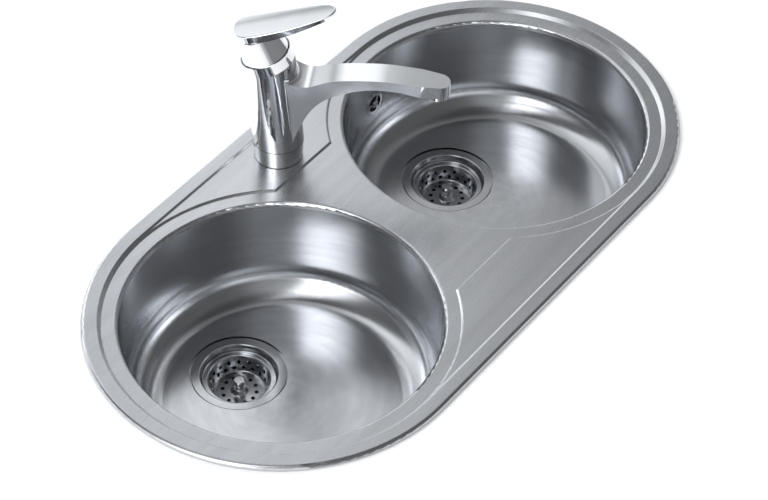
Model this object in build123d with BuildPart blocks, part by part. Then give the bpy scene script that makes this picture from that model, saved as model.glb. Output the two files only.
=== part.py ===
"""Inset double bowl kitchen sink with a swivelling single lever tap, in millimetres.

The origin is the middle of the sink in the plane of the worktop. +Z is up, +X runs along the
sink to the right bowl and -Y faces the person who stands at it.
"""

import os
from math import cos, radians, sin, tan

from build123d import *

os.makedirs("parts", exist_ok=True)

# ---- Driving dimensions: pressed top ------------------------------------------------------
sheet = 1.0  # thickness of the stainless sheet
end_radius = 220.0  # round ends of the outline, so the sink is twice this deep
rim_top = 6.0  # highest face of the rim above the worktop
rim_edge_radius = 4.0
panel_level = 4.0  # raised panels in front of and behind the bowls
deck_level = 1.7  # sunk deck round the bowls
rim_width = 22.0  # from the outline to the edge of the sunk deck round each bowl
deck_width = 18.0  # from there to the bowl's opening
bowl_gap = 47.0  # between the two openings
step_round = 1.5
panel_round = 1.2
panel_depth = 92.0  # from the outline to the straight edge of each panel at the deck
step_slope = 45.0  # steepness of every pressed step
tap_hole_radius = 17.5
seal_inset = 4.5  # foam strip under the rim, in from the outline
seal_width = 8.0

# ---- Driving dimensions: bowls ------------------------------------------------------------
lip_radius = 4.0  # bend from the deck into the bowl
lip_bottom = -6.0  # seam weld between top and bowl
wall_draft = 1.5
floor_bend = 42.0
floor_fall = 0.9  # slope of the floor towards the waste, in degrees
waste_inset = 116.0  # the waste sits near the back of the bowl, in from its opening
floor_level = -133.5  # floor beside the waste
pad_thickness = 3.0
pad_front = 70.0  # sound pad glued under the floor, in from the front of the opening
pad_back = 23.0  # from the pad to the flange of the waste

# ---- Driving dimensions: waste ------------------------------------------------------------
flange_radius = 55.0
flange_overlap = 9.0  # of the flange over the floor round its hole
seat_clearance = 2.0  # round the flange in its pressed seat
flange_drop = 0.5  # flange top below the floor beside it
cup_sheet = 1.0
upper_gasket_height = 1.5
lower_gasket_height = 2.0
cup_play = 2.8  # between the hole and the mouth of the cup
cup_ledge_depth = 10.0
cup_ledge_width = 5.6  # ledge that the basket hangs on
cup_depth = 43.0
outlet_drop = 51.0  # from the cup's floor to the lower end of the outlet
outlet_radius = 23.9  # thread for the trap, one and a half inch pipe thread
outlet_length = 22.0
cup_bend = 1.5
outlet_circle = 15.5  # outlets in the cup's floor
outlet_count = 6
outlet_hole_radius = 4.5
boss_radius = 8.0  # boss under the cup for the clamping screw
boss_height = 22.0
waste_screw_radius = 3.0
screw_head_height = 3.5
screw_play = 0.05
basket_sheet = 1.0
basket_rim_play = 2.2  # between the rim of the basket and the mouth of the cup
basket_play = 1.6  # between the basket and the cup below the ledge
basket_taper = 6.0  # from the mouth of the basket to its foot
basket_depth = 19.0  # below the ledge it hangs on
basket_boss_radius = 7.5  # dome in the middle of the basket
basket_boss_height = 7.0
basket_wall_holes = 18
basket_floor_holes = 12
basket_hole_radius = 2.4
knob_radius = 7.0
knob_stem_radius = 3.5
knob_drop = 11.0  # top of the knob below the flange
plug_inset = 3.0  # of the plug inside the foot of the basket
plug_thickness = 3.0
plug_seal_height = 2.0

# ---- Driving dimensions: overflow ---------------------------------------------------------
overflow_height = -70.0
overflow_inset = 1.0  # flat seat pressed into the wall, in from the opening
grille_radius = 16.0
grille_thickness = 1.7
overflow_hole_radius = 12.5
overflow_bore = 11.2
pipe_radius = 11.0
pipe_wall = 2.0
pipe_bend = 25.0
pipe_rise = 12.0  # lower run of the pipe above the cup's floor
socket_reach = 76.0  # from the waste's axis to the end of the socket for the pipe
socket_depth = 22.0
elbow_reach = 26.0  # from the seat in the wall to the axis of the pipe
elbow_drop = 30.0  # from the overflow's axis to the elbow's lower end
elbow_socket = 12.0
elbow_wall = 2.8
elbow_bar_depth = 8.0
overflow_seal_height = 2.0
overflow_screw_radius = 2.4
overflow_screw_length = 13.0
grille_slot_outer = 11.5
grille_slot_inner = 5.5
grille_spoke = 3.0

# ---- Driving dimensions: tap --------------------------------------------------------------
tap_clearance = 3.5  # between the tap's base and the step up to the rim
spout_angle = -60.0  # where the spout points, from +X
base_radius = 28.5
body_radius = 30.0
seam_height = 28.6  # top of the base ring
base_seal_height = 1.0
glide_height = 0.8
journal_radius = 18.0
running_gap = 0.3
journal_top = 62.0
lower_seal_level = 36.0  # grooves in the column
stop_level = 45.0
upper_seal_level = 54.0
column_bore = 13.0
column_flange_radius = 23.8
column_flange_height = 7.0
column_chamber = 66.5  # top of the bore in the body
shank_radius = 16.4
shank_length = 48.0
shank_nut_height = 10.0
stop_screw_radius = 2.5
inlet_radius = 4.5  # tapped M10 for the flexible tails
inlet_depth = 12.0
inlet_s = -3.0
inlet_spread = 6.5
hub_lean = 20.0  # the cartridge leans back from upright by this
hub_s = -12.8  # middle of the lever's lower edge, along the spout from the swivel axis
hub_z = 157.0
neck_radius = 31.3
neck_depth = 12.0
neck_lip = 1.0
pocket_radius = 29.3
spout_half_width = 15.5
root_blend = 8.0  # where the spout runs into the body
nozzle_s = 185.5
nozzle_radius = 12.5
nozzle_face = 122.0
aerator_outlet = 116.0
aerator_radius = 11.8
aerator_thread = 10.5
aerator_insert_radius = 9.2
aerator_socket_depth = 13.5
waterway_radius = 4.2
# Side view of the spout: distance from the swivel axis and height
spout_top = (
    (8, 136.5),
    (20, 130),
    (36, 126.5),
    (56, 133),
    (76, 138),
    (96, 140.5),
    (126, 142.3),
    (146, 141.5),
    (166, 139.7),
    (185.5, 138),
    (200, 136.8),
)
spout_under = (
    (14, 26),
    (19.5, 42),
    (25.5, 58),
    (32, 74),
    (40.5, 90),
    (51, 102.5),
    (62, 111),
    (76, 117.7),
    (96, 125.3),
    (126, 128.9),
    (146, 127.5),
    (166, 123.5),
    (185.5, 122),
    (200, 122),
)
# Plan of the spout: how much it widens beyond its straight sides on its way into the body
spout_root = (
    (-12, 9.7),
    (8, 8.7),
    (28, 4.9),
    (48, 1.7),
    (68, 0.3),
    (88, 0),
    (108, 0),
    (128, 0),
    (148, 0),
)
waterway = (
    (4, 129),
    (7, 118),
    (16, 110.5),
    (36, 111),
    (56, 119.5),
    (76, 127),
    (96, 132),
    (126, 135.4),
    (150, 134),
    (180, 130),
)
spout_taper = 19.5  # length over which the sides close in towards the nozzle

# ---- Driving dimensions: lever and cartridge ------------------------------------------------
skirt_radius = 28.5
skirt_top_radius = 22.0
skirt_height = 30.0
skirt_wall = 2.2
lever_back = 23.5  # from the cartridge axis to the back end
lever_front = 100.0  # from the cartridge axis to the tip
lever_half_width = 21.0
cartridge_radius = 17.5
cartridge_length = 22.0
cartridge_neck = 11.8
cartridge_neck_height = 8.0
nut_radius = 20.3
nut_height = 10.0
nut_head = 5.0
carrier_radius = 9.0
carrier_bottom = -10.0
carrier_top = 4.0
carrier_web = 1.7
spindle_width = 8.0
spindle_bottom = -7.0
spindle_top = 27.0
pin_radius = 1.5
pin_play = 0.1
socket_boss_radius = 9.0
socket_boss_bottom = 13.0
grub_radius = 2.5
grub_length = 8.0
grub_level = 20.0
index_plug_start = 17.5
index_plug_length = 3.0
crown_level = 43.0
crown_radius = 111.0
crown_dip = 0.015
lever_back_level = 34.0
lever_edge_radius = 1.5
# Lower side of the lever and one side of its plan, measured from the cartridge axis
lever_under = ((20, 30.5), (40, 31.8), (70, 34.5), (104, 37))
lever_plan = (
    (-22.3, 8),
    (-17.5, 15),
    (-8, 19.6),
    (5, 21),
    (25, 20.9),
    (45, 19.6),
    (62, 17.5),
    (78, 14.6),
    (90, 11.2),
    (97.4, 6.6),
)

# ---- Driving dimensions: fixings ------------------------------------------------------------
clamp_width = 16.0
clamp_plate = 11.0  # foot of the hanger, measured outwards
clamp_strip = 2.0
clamp_reach = 34.0
clamp_drop = 34.0
clamp_bend = 12.0
clamp_screw_radius = 2.5
clamp_head_height = 3.5
clamp_inset = 30.0  # from the outline to the clamps
clamp_spread = 52.0
clamp_straight_x = 100.0

# ---- Places and levels that follow from the sizes above -------------------------------------
deck_radius = end_radius - rim_width
opening_radius = deck_radius - deck_width
bowl_x = opening_radius + bowl_gap / 2  # bowls and round ends share these centres
panel_edge_y = end_radius - panel_depth
seal_outer = end_radius - seal_inset
clamp_circle = end_radius - clamp_inset  # round the bowls' centres, or from the long axis
waste_y = opening_radius - waste_inset
pad_radius = (opening_radius + waste_y - flange_radius - pad_front - pad_back) / 2
pad_y = pad_radius + pad_front - opening_radius
tap_y = deck_radius - base_radius - tap_clearance
rim_underside = deck_level - sheet  # the turned down edge stops level with the deck
flange_top = floor_level - flange_drop
seat_level = flange_top - cup_sheet - upper_gasket_height
seat_radius = flange_radius + seat_clearance
waste_hole_radius = flange_radius - flange_overlap
cup_mouth_radius = waste_hole_radius - cup_play
cup_radius = cup_mouth_radius - cup_ledge_width
basket_rim_radius = cup_mouth_radius - basket_rim_play
basket_mouth_radius = cup_radius - basket_play
basket_foot_radius = basket_mouth_radius - basket_taper
plug_radius = basket_foot_radius - plug_inset
cup_floor = flange_top - cup_depth
ledge_level = flange_top - cup_ledge_depth
basket_floor = ledge_level - basket_depth
knob_top = flange_top - knob_drop
plug_level = cup_floor + plug_seal_height
outlet_bottom = cup_floor - outlet_drop
pipe_level = cup_floor + pipe_rise
overflow_seat = opening_radius - overflow_inset
elbow_y = overflow_seat + elbow_reach
elbow_bottom = overflow_height - elbow_drop
pipe_top = elbow_bottom + elbow_socket
socket_end = waste_y + socket_reach
pipe_end = socket_end - socket_depth
waste_top = seat_level - sheet - lower_gasket_height
tap_base = panel_level + base_seal_height
body_base = seam_height + glide_height
slope = tan(radians(step_slope))
spout_dir = Vector(cos(radians(spout_angle)), sin(radians(spout_angle)), 0)
across = spout_dir.cross(Vector(0, 0, 1))
swivel_plane = Plane(origin=(0, tap_y, 0), x_dir=spout_dir, z_dir=(0, 0, 1))
side_plane = Plane(origin=(0, tap_y, 0), x_dir=spout_dir, z_dir=across)
lean = radians(hub_lean)
hub_axis = Vector(0, 0, 1) * cos(lean) - spout_dir * sin(lean)
hub_front = spout_dir * cos(lean) + Vector(0, 0, 1) * sin(lean)
hub_centre = Vector(0, tap_y, hub_z) + spout_dir * hub_s
hub_plane = Plane(origin=hub_centre, x_dir=hub_front, z_dir=hub_axis)
hub_side_plane = Plane(origin=hub_centre, x_dir=hub_front, z_dir=across)
stop_plane = Plane(
    origin=Vector(0, tap_y, stop_level) - spout_dir * body_radius, x_dir=across, z_dir=-spout_dir
)
grub_plane = Plane(
    origin=hub_centre + hub_axis * grub_level - hub_front * (spindle_width / 2),
    x_dir=across,
    z_dir=-hub_front,
)
pocket_floor = -neck_depth
nut_floor = pocket_floor - nut_height
cartridge_floor = pocket_floor - cartridge_length


def save(part, name):
    """Label a finished piece and write it under its own name."""
    part.label = name
    export_step(part, f"parts/{name}.step")


def upright(x, y):
    """Plane for turned profiles: its x is the radius and its y the height."""
    return Plane(origin=(x, y, 0), x_dir=(1, 0, 0), z_dir=(0, -1, 0))


def turned(x, y, outline):
    """Solid of revolution about the vertical through x, y."""
    with BuildPart() as piece:
        with BuildSketch(upright(x, y)):
            with BuildLine():
                Polyline(*outline, close=True)
            make_face()
        revolve(axis=Axis((x, y, 0), (0, 0, 1)))
    return piece.part


def ring(x, y, inner, outer, bottom, top):
    """Flat ring lying on its side of a joint."""
    return turned(x, y, ((inner, bottom), (outer, bottom), (outer, top), (inner, top)))


def turned_sheet(x, y, path, bends, thickness):
    """Sheet metal turned about the vertical, with its face along the path and metal below."""
    with BuildPart() as piece:
        with BuildSketch(upright(x, y)):
            with BuildLine():
                FilletPolyline(*path, radius=bends)
                offset(amount=thickness, side=Side.LEFT)
            make_face()
        revolve(axis=Axis((x, y, 0), (0, 0, 1)))
    return piece.part


# ---- Pressed top ----------------------------------------------------------------------------
def top_form(inset):
    """Solid under the pressed surface, with that surface moved down into it by the inset."""
    spread = inset * tan(radians(step_slope / 2))
    above = rim_top + 1
    with BuildPart() as form:
        with BuildSketch(Plane.XY.offset(rim_underside)):
            SlotCenterToCenter(2 * bowl_x, 2 * (end_radius - inset))
        extrude(amount=rim_top - inset - rim_underside)
        fillet(form.edges().group_by(Axis.Z)[-1], rim_edge_radius - inset)
        for x in (-bowl_x, bowl_x):
            with Locations((x, 0, deck_level - inset)):
                Cone(
                    bottom_radius=deck_radius + spread,
                    top_radius=deck_radius + spread + (above - deck_level) / slope,
                    height=above - deck_level,
                    align=(Align.CENTER, Align.CENTER, Align.MIN),
                    mode=Mode.SUBTRACT,
                )
        panel_foot = deck_radius + (panel_level - deck_level) / slope
        for level, edge in ((deck_level, panel_edge_y), (panel_level, panel_foot)):
            with BuildSketch(Plane.XY.offset(level - inset)):
                Rectangle(2 * bowl_x, 2 * (edge + spread))
            with BuildSketch(Plane.XY.offset(above - inset)):
                Rectangle(2 * bowl_x, 2 * (edge + spread + (above - level) / slope))
            loft(ruled=True, mode=Mode.SUBTRACT)
    return form.part


pressed = top_form(0)
hollow_below = top_form(sheet)
collar_path = (
    (opening_radius + 2 * lip_radius, deck_level),
    (opening_radius, deck_level),
    (opening_radius, lip_bottom),
)
collars = [turned_sheet(x, 0, collar_path, lip_radius, sheet) for x in (-bowl_x, bowl_x)]
with BuildPart() as sink_top:
    add(pressed)
    inner_rim = deck_radius + (rim_top - deck_level) / slope
    rim_edges = [
        edge
        for edge in sink_top.edges().filter_by_position(Axis.Z, rim_top, rim_top)
        if edge.bounding_box().max.X < bowl_x + inner_rim + step_round
    ]
    fillet(rim_edges, step_round)
    fillet(sink_top.edges().filter_by_position(Axis.Z, panel_level, panel_level), panel_round)
    add(hollow_below, mode=Mode.SUBTRACT)
    # The bowl openings, with their edges turned down
    with BuildSketch(Plane.XY.offset(deck_level)):
        with Locations((-bowl_x, 0), (bowl_x, 0)):
            Circle(opening_radius + 2 * lip_radius)
    extrude(amount=-2 * sheet, mode=Mode.SUBTRACT)
    for collar in collars:
        add(collar)
    with BuildSketch(Plane.XY.offset(panel_level)):
        with Locations((0, tap_y)):
            Circle(tap_hole_radius)
    extrude(amount=-2 * sheet, mode=Mode.SUBTRACT)
save(sink_top.part, "sink_top")

# Foam strip between the rim and the worktop
with BuildPart() as rim_seal:
    with BuildSketch():
        SlotCenterToCenter(2 * bowl_x, 2 * seal_outer)
        SlotCenterToCenter(2 * bowl_x, 2 * (seal_outer - seal_width), mode=Mode.SUBTRACT)
    extrude(amount=rim_top - sheet)
save(rim_seal.part, "rim_seal")


# ---- Bowls ----------------------------------------------------------------------------------
def bowl_form(x, skin):
    """Inside of a bowl, or the same shape grown by a skin all over below the opening."""
    depth = lip_bottom - floor_level + 2 * floor_bend * tan(radians(floor_fall)) + floor_bend
    top_radius = opening_radius + skin
    with BuildPart() as form:
        with Locations((x, 0, lip_bottom - depth)):
            Cone(
                bottom_radius=top_radius - depth * tan(radians(wall_draft)),
                top_radius=top_radius,
                height=depth,
                align=(Align.CENTER, Align.CENTER, Align.MIN),
            )
        # The floor falls to the waste from all sides, so what is kept lies above a wide cone.
        above_floor = lip_bottom - floor_level + skin
        with Locations((x, waste_y, floor_level - skin)):
            Cone(
                bottom_radius=0,
                top_radius=above_floor / tan(radians(floor_fall)),
                height=above_floor,
                align=(Align.CENTER, Align.CENTER, Align.MIN),
                mode=Mode.INTERSECT,
            )
        bend = form.edges().filter_by(lambda edge: edge.center().Z < floor_level / 2)
        fillet(bend.sort_by(SortBy.LENGTH)[-1], floor_bend + skin)
        # Pressed seat for the waste
        with BuildSketch(Plane.XY.offset(seat_level - skin)):
            with Locations((x, waste_y)):
                Circle(seat_radius + skin)
        extrude(amount=floor_level - seat_level + sheet)
    return form.part


def bowl_shell(x):
    """Drawn bowl with its waste hole."""
    outside = bowl_form(x, sheet)
    inside = bowl_form(x, 0)
    with BuildPart() as bowl:
        add(outside)
        add(inside, mode=Mode.SUBTRACT)
        with BuildSketch(Plane.XY.offset(seat_level)):
            with Locations((x, waste_y)):
                Circle(waste_hole_radius)
        extrude(amount=-2 * sheet, mode=Mode.SUBTRACT)
    return bowl.part


with BuildPart() as left_bowl:
    add(bowl_shell(-bowl_x))
save(left_bowl.part, "left_bowl")

plain_right_bowl = bowl_shell(bowl_x)
overflow_plane = Plane(
    origin=(bowl_x, overflow_seat, overflow_height), x_dir=(1, 0, 0), z_dir=(0, -1, 0)
)
with BuildPart() as right_bowl:
    add(plain_right_bowl)
    # Flat seat for the overflow, pressed outwards
    with BuildSketch(overflow_plane.offset(-sheet)):
        Circle(grille_radius + 2 * sheet)
    extrude(amount=2 * sheet)
    with BuildSketch(overflow_plane):
        Circle(grille_radius + sheet)
    extrude(amount=3 * sheet, mode=Mode.SUBTRACT)
    with BuildSketch(overflow_plane):
        Circle(overflow_hole_radius)
    extrude(amount=-2 * sheet, mode=Mode.SUBTRACT)
save(right_bowl.part, "right_bowl")


def sound_pad(x):
    """Rubber pad glued under the flat of a bowl."""
    around = bowl_form(x, sheet + pad_thickness)
    bowl_outside = bowl_form(x, sheet)
    with BuildPart() as pad:
        with BuildSketch(Plane.XY.offset(floor_level)):
            with Locations((x, pad_y)):
                Circle(pad_radius)
        extrude(amount=-floor_bend)
        extrude(pad.faces().sort_by(Axis.Z)[-1], amount=floor_bend)
        add(around, mode=Mode.INTERSECT)
        add(bowl_outside, mode=Mode.SUBTRACT)
    return pad.part


for side, x in (("left", -bowl_x), ("right", bowl_x)):
    save(sound_pad(x), f"{side}_sound_pad")


# ---- Wastes ---------------------------------------------------------------------------------
def strainer_cup(x):
    """Cup with a wide flange, a ledge for the basket and a ring of outlets in its floor."""
    shell = turned_sheet(
        x,
        waste_y,
        (
            (flange_radius, flange_top),
            (cup_mouth_radius + wall_draft, flange_top),
            (cup_mouth_radius, ledge_level),
            (cup_radius, ledge_level),
            (cup_radius - wall_draft, cup_floor),
            (waste_screw_radius + running_gap, cup_floor),
        ),
        cup_bend,
        cup_sheet,
    )
    with BuildPart() as cup:
        add(shell)
        with Locations((x, waste_y, cup_floor)):
            with PolarLocations(outlet_circle, outlet_count):
                Cylinder(outlet_hole_radius, 4 * cup_sheet, mode=Mode.SUBTRACT)
    return cup.part


def waste_body(x, with_overflow):
    """Plastic body below the bowl, with a screw boss and the thread for the trap."""
    wall = 3.0
    inner = waste_hole_radius - 0.5
    rib_level = cup_floor - 2 * wall
    neck_level = outlet_bottom + outlet_length
    funnel_level = rib_level - 1.5
    outside = turned(
        x,
        waste_y,
        (
            (0, waste_top),
            (flange_radius - 2, waste_top),
            (flange_radius - 2, waste_top - 4),
            (inner + wall + 1, waste_top - 4),
            (inner + wall, rib_level),
            (outlet_radius, neck_level),
            (outlet_radius, outlet_bottom),
            (0, outlet_bottom),
        ),
    )
    inside = turned(
        x,
        waste_y,
        (
            (0, waste_top),
            (inner, waste_top),
            (inner - 0.5, funnel_level),
            (outlet_radius - wall, neck_level + 1),
            (outlet_radius - wall, outlet_bottom),
            (0, outlet_bottom),
        ),
    )
    socket_plane = Plane(origin=(x, waste_y, pipe_level), x_dir=(1, 0, 0), z_dir=(0, 1, 0))
    with BuildPart() as body:
        add(outside)
        if with_overflow:
            with BuildSketch(socket_plane):
                Circle(pipe_radius + wall)
            extrude(amount=socket_end - waste_y)
        add(inside, mode=Mode.SUBTRACT)
        if with_overflow:
            with BuildSketch(socket_plane):
                Circle(pipe_radius - pipe_wall)
            extrude(amount=socket_end - waste_y, mode=Mode.SUBTRACT)
            with BuildSketch(socket_plane.offset(pipe_end - waste_y)):
                Circle(overflow_bore)
            extrude(amount=socket_end - pipe_end, mode=Mode.SUBTRACT)
        # Boss for the clamping screw, on three ribs
        with BuildSketch(Plane.XY.offset(cup_floor - cup_sheet)):
            with Locations((x, waste_y)):
                Circle(boss_radius)
        extrude(amount=-boss_height)
        with BuildSketch(Plane.XY.offset(rib_level)):
            with Locations((x, waste_y)):
                with PolarLocations(0, 3, start_angle=30):
                    Rectangle(inner + 1, wall, align=(Align.MIN, Align.CENTER))
        extrude(amount=wall + 1)
        with BuildSketch(Plane.XY.offset(cup_floor)):
            with Locations((x, waste_y)):
                Circle(waste_screw_radius + screw_play)
        extrude(amount=-boss_height, mode=Mode.SUBTRACT)
    return body.part


def waste_screw(x):
    """Slotted screw that pulls the cup and the plastic body together."""
    with BuildPart() as screw:
        with BuildSketch(Plane.XY.offset(cup_floor)):
            with Locations((x, waste_y)):
                Circle(boss_radius - 1.5)
        extrude(amount=screw_head_height)
        fillet(screw.edges().group_by(Axis.Z)[-1], 1)
        with BuildSketch(Plane.XY.offset(cup_floor)):
            with Locations((x, waste_y)):
                Circle(waste_screw_radius)
        extrude(amount=4 - boss_height)
        with BuildSketch(Plane.XY.offset(cup_floor + screw_head_height)):
            with Locations((x, waste_y)):
                Rectangle(2 * boss_radius, 1.4)
        extrude(amount=-1.4, mode=Mode.SUBTRACT)
    return screw.part


def basket(x):
    """Perforated strainer that hangs on the cup's ledge by its rim."""
    shell = turned_sheet(
        x,
        waste_y,
        (
            (basket_rim_radius, ledge_level + basket_sheet),
            (basket_mouth_radius, ledge_level + basket_sheet),
            (basket_foot_radius, basket_floor),
            (basket_boss_radius + 2, basket_floor),
            (basket_boss_radius, basket_floor + basket_boss_height),
            (knob_stem_radius, basket_floor + basket_boss_height),
        ),
        cup_bend,
        basket_sheet,
    )
    row_pitch = 3 * basket_hole_radius
    upper_row = ledge_level - row_pitch
    floor_circle = (basket_foot_radius + basket_boss_radius) / 2 + 1
    with BuildPart() as strainer:
        add(shell)
        for row, turn in ((0, 0), (1, 180 / basket_wall_holes)):
            with Locations((x, waste_y, upper_row - row * row_pitch)):
                with PolarLocations(basket_foot_radius, basket_wall_holes, start_angle=turn):
                    Cylinder(
                        basket_hole_radius,
                        basket_foot_radius / 2,
                        rotation=(0, 90, 0),
                        mode=Mode.SUBTRACT,
                    )
        with Locations((x, waste_y, basket_floor)):
            with PolarLocations(floor_circle, basket_floor_holes):
                Cylinder(basket_hole_radius, 4 * basket_sheet, mode=Mode.SUBTRACT)
    return strainer.part


def basket_knob(x):
    """Turned knob whose stem screws into the plug under the basket."""
    knob = turned(
        x,
        waste_y,
        (
            (0, knob_top),
            (knob_radius - 1.5, knob_top),
            (knob_radius, knob_top - 1.5),
            (knob_radius, knob_top - 4),
            (knob_stem_radius + 1, basket_floor + basket_boss_height),
            (knob_stem_radius - screw_play, basket_floor + basket_boss_height),
            (knob_stem_radius - screw_play, basket_floor - 2 * basket_sheet),
            (0, basket_floor - 2 * basket_sheet),
        ),
    )
    return knob


def basket_plug(x):
    """Plastic foot of the basket, with a disc that carries the sealing ring."""
    top = basket_floor + basket_boss_height - basket_sheet
    recess = cup_floor + screw_head_height + 1
    return turned(
        x,
        waste_y,
        (
            (knob_stem_radius, top),
            (basket_boss_radius - 2, top),
            (basket_boss_radius - 2, basket_floor - basket_sheet),
            (basket_boss_radius + 2, basket_floor - basket_sheet),
            (basket_boss_radius + 2, plug_level + plug_thickness),
            (plug_radius, plug_level + plug_thickness),
            (plug_radius, plug_level),
            (boss_radius + 0.5, plug_level),
            (boss_radius + 0.5, recess),
            (0, recess),
            (0, basket_floor - 2 * basket_sheet),
            (knob_stem_radius, basket_floor - 2 * basket_sheet),
        ),
    )


def plug_seal(x):
    """Rubber ring that closes round the outlets when the basket is seated."""
    inner = outlet_circle + outlet_hole_radius + 2
    return ring(x, waste_y, inner, plug_radius + 4, cup_floor, plug_level)


for side, x in (("left", -bowl_x), ("right", bowl_x)):
    gasket_outer = flange_radius - 1.5
    save(strainer_cup(x), f"{side}_strainer_cup")
    save(
        ring(x, waste_y, waste_hole_radius + 1, gasket_outer, seat_level, flange_top - cup_sheet),
        f"{side}_flange_gasket",
    )
    save(
        ring(x, waste_y, waste_hole_radius + 0.5, gasket_outer - 1, waste_top, seat_level - sheet),
        f"{side}_lower_gasket",
    )
    save(waste_body(x, with_overflow=x > 0), f"{side}_waste_body")
    save(waste_screw(x), f"{side}_waste_screw")
    save(basket(x), f"{side}_basket")
    save(basket_knob(x), f"{side}_basket_knob")
    save(basket_plug(x), f"{side}_basket_plug")
    save(plug_seal(x), f"{side}_plug_seal")


# ---- Overflow of the right bowl -------------------------------------------------------------
with BuildPart() as overflow_grille:
    with BuildSketch(overflow_plane):
        Circle(grille_radius)
    extrude(amount=grille_thickness)
    fillet(overflow_grille.edges().group_by(Axis.Y)[0], grille_thickness / 2)
    with BuildSketch(overflow_plane):
        Circle(grille_slot_outer)
        Circle(grille_slot_inner, mode=Mode.SUBTRACT)
        with PolarLocations(0, 3, start_angle=60):
            Rectangle(
                grille_radius, grille_spoke, align=(Align.MIN, Align.CENTER), mode=Mode.SUBTRACT
            )
    extrude(amount=grille_thickness, mode=Mode.SUBTRACT)
    with BuildSketch(overflow_plane):
        Circle(overflow_screw_radius + screw_play)
    extrude(amount=grille_thickness, mode=Mode.SUBTRACT)
save(overflow_grille.part, "overflow_grille")

screw_seat = overflow_plane.offset(grille_thickness)
with BuildPart() as overflow_screw:
    with BuildSketch(screw_seat):
        Circle(2 * overflow_screw_radius)
    extrude(amount=2)
    fillet(overflow_screw.edges().group_by(Axis.Y)[0], 0.8)
    with BuildSketch(screw_seat):
        Circle(overflow_screw_radius)
    extrude(amount=-overflow_screw_length)
    with BuildSketch(screw_seat.offset(2)):
        Rectangle(4 * overflow_screw_radius, 1)
    extrude(amount=-1, mode=Mode.SUBTRACT)
save(overflow_screw.part, "overflow_screw")

behind_wall = overflow_plane.offset(-sheet)
with BuildPart() as overflow_seal:
    with BuildSketch(behind_wall):
        Circle(overflow_hole_radius + 5.5)
        Circle(overflow_hole_radius + 0.5, mode=Mode.SUBTRACT)
    extrude(amount=-overflow_seal_height)
save(overflow_seal.part, "overflow_seal")

elbow_face = behind_wall.offset(-overflow_seal_height)
with BuildPart() as overflow_elbow:
    with BuildSketch(elbow_face):
        Circle(overflow_hole_radius + 6.5)
    extrude(amount=-elbow_wall)
    with BuildSketch(elbow_face):
        Circle(overflow_bore + elbow_wall)
    extrude(amount=overflow_seat + sheet + overflow_seal_height - elbow_y)
    with BuildSketch(Plane.XY.offset(elbow_bottom)):
        with Locations((bowl_x, elbow_y)):
            Circle(overflow_bore + elbow_wall)
    extrude(amount=overflow_height - elbow_bottom)
    with Locations((bowl_x, elbow_y, overflow_height)):
        Sphere(overflow_bore + elbow_wall)
    with BuildSketch(elbow_face):
        Circle(pipe_radius)
    extrude(amount=overflow_seat + sheet + overflow_seal_height - elbow_y, mode=Mode.SUBTRACT)
    with Locations((bowl_x, elbow_y, overflow_height)):
        Sphere(pipe_radius, mode=Mode.SUBTRACT)
    with BuildSketch(Plane.XY.offset(pipe_top)):
        with Locations((bowl_x, elbow_y)):
            Circle(pipe_radius - pipe_wall)
    extrude(amount=overflow_height - pipe_top, mode=Mode.SUBTRACT)
    with BuildSketch(Plane.XY.offset(elbow_bottom)):
        with Locations((bowl_x, elbow_y)):
            Circle(overflow_bore)
    extrude(amount=pipe_top - elbow_bottom, mode=Mode.SUBTRACT)
    # Bar across the mouth that the grille's screw is tapped into
    with BuildSketch(elbow_face):
        Circle(2 * overflow_screw_radius)
        Rectangle(2 * pipe_radius + elbow_wall, elbow_wall)
    extrude(amount=-elbow_bar_depth)
    with BuildSketch(elbow_face):
        Circle(overflow_screw_radius + screw_play)
    extrude(amount=-elbow_bar_depth, mode=Mode.SUBTRACT)
save(overflow_elbow.part, "overflow_elbow")

pipe_start = Plane(origin=(bowl_x, elbow_y, pipe_top), x_dir=(1, 0, 0), z_dir=(0, 0, -1))
with BuildPart() as overflow_pipe:
    with BuildLine() as pipe_run:
        FilletPolyline(
            (bowl_x, elbow_y, pipe_top),
            (bowl_x, elbow_y, pipe_level),
            (bowl_x, pipe_end, pipe_level),
            radius=pipe_bend,
        )
    with BuildSketch(pipe_start):
        Circle(pipe_radius)
        Circle(pipe_radius - pipe_wall, mode=Mode.SUBTRACT)
    sweep(path=pipe_run.line)
save(overflow_pipe.part, "overflow_pipe")


# ---- Clamps under the top -------------------------------------------------------------------
clamp_places = []
for x, middle in ((-bowl_x, 180), (bowl_x, 0)):
    for turn in (-clamp_spread, 0, clamp_spread):
        angle = radians(middle + turn)
        place = (x + clamp_circle * cos(angle), clamp_circle * sin(angle))
        clamp_places.append((*place, deck_level - sheet, middle + turn))
for x in (-clamp_straight_x, clamp_straight_x):
    for y, turn in ((-clamp_circle, -90), (clamp_circle, 90)):
        clamp_places.append((x, y, panel_level - sheet, turn))


def at_clamps(piece):
    """The same piece at every clamp, with its x pointing outwards."""
    return [
        Plane(
            origin=(x, y, z), x_dir=(cos(radians(turn)), sin(radians(turn)), 0), z_dir=(0, 0, 1)
        )
        * piece
        for x, y, z, turn in clamp_places
    ]


with BuildPart() as hanger:
    with BuildSketch():
        Rectangle(clamp_plate, clamp_width)
    extrude(amount=-clamp_strip)
    with BuildSketch(Plane.XY.offset(-clamp_strip)):
        Circle(2 * clamp_screw_radius)
    extrude(amount=-2 * clamp_width / 3)
    with BuildSketch():
        Circle(clamp_screw_radius + screw_play)
    extrude(amount=-clamp_width, mode=Mode.SUBTRACT)
save(Compound(children=at_clamps(hanger.part)), "clamp_hangers")

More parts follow.
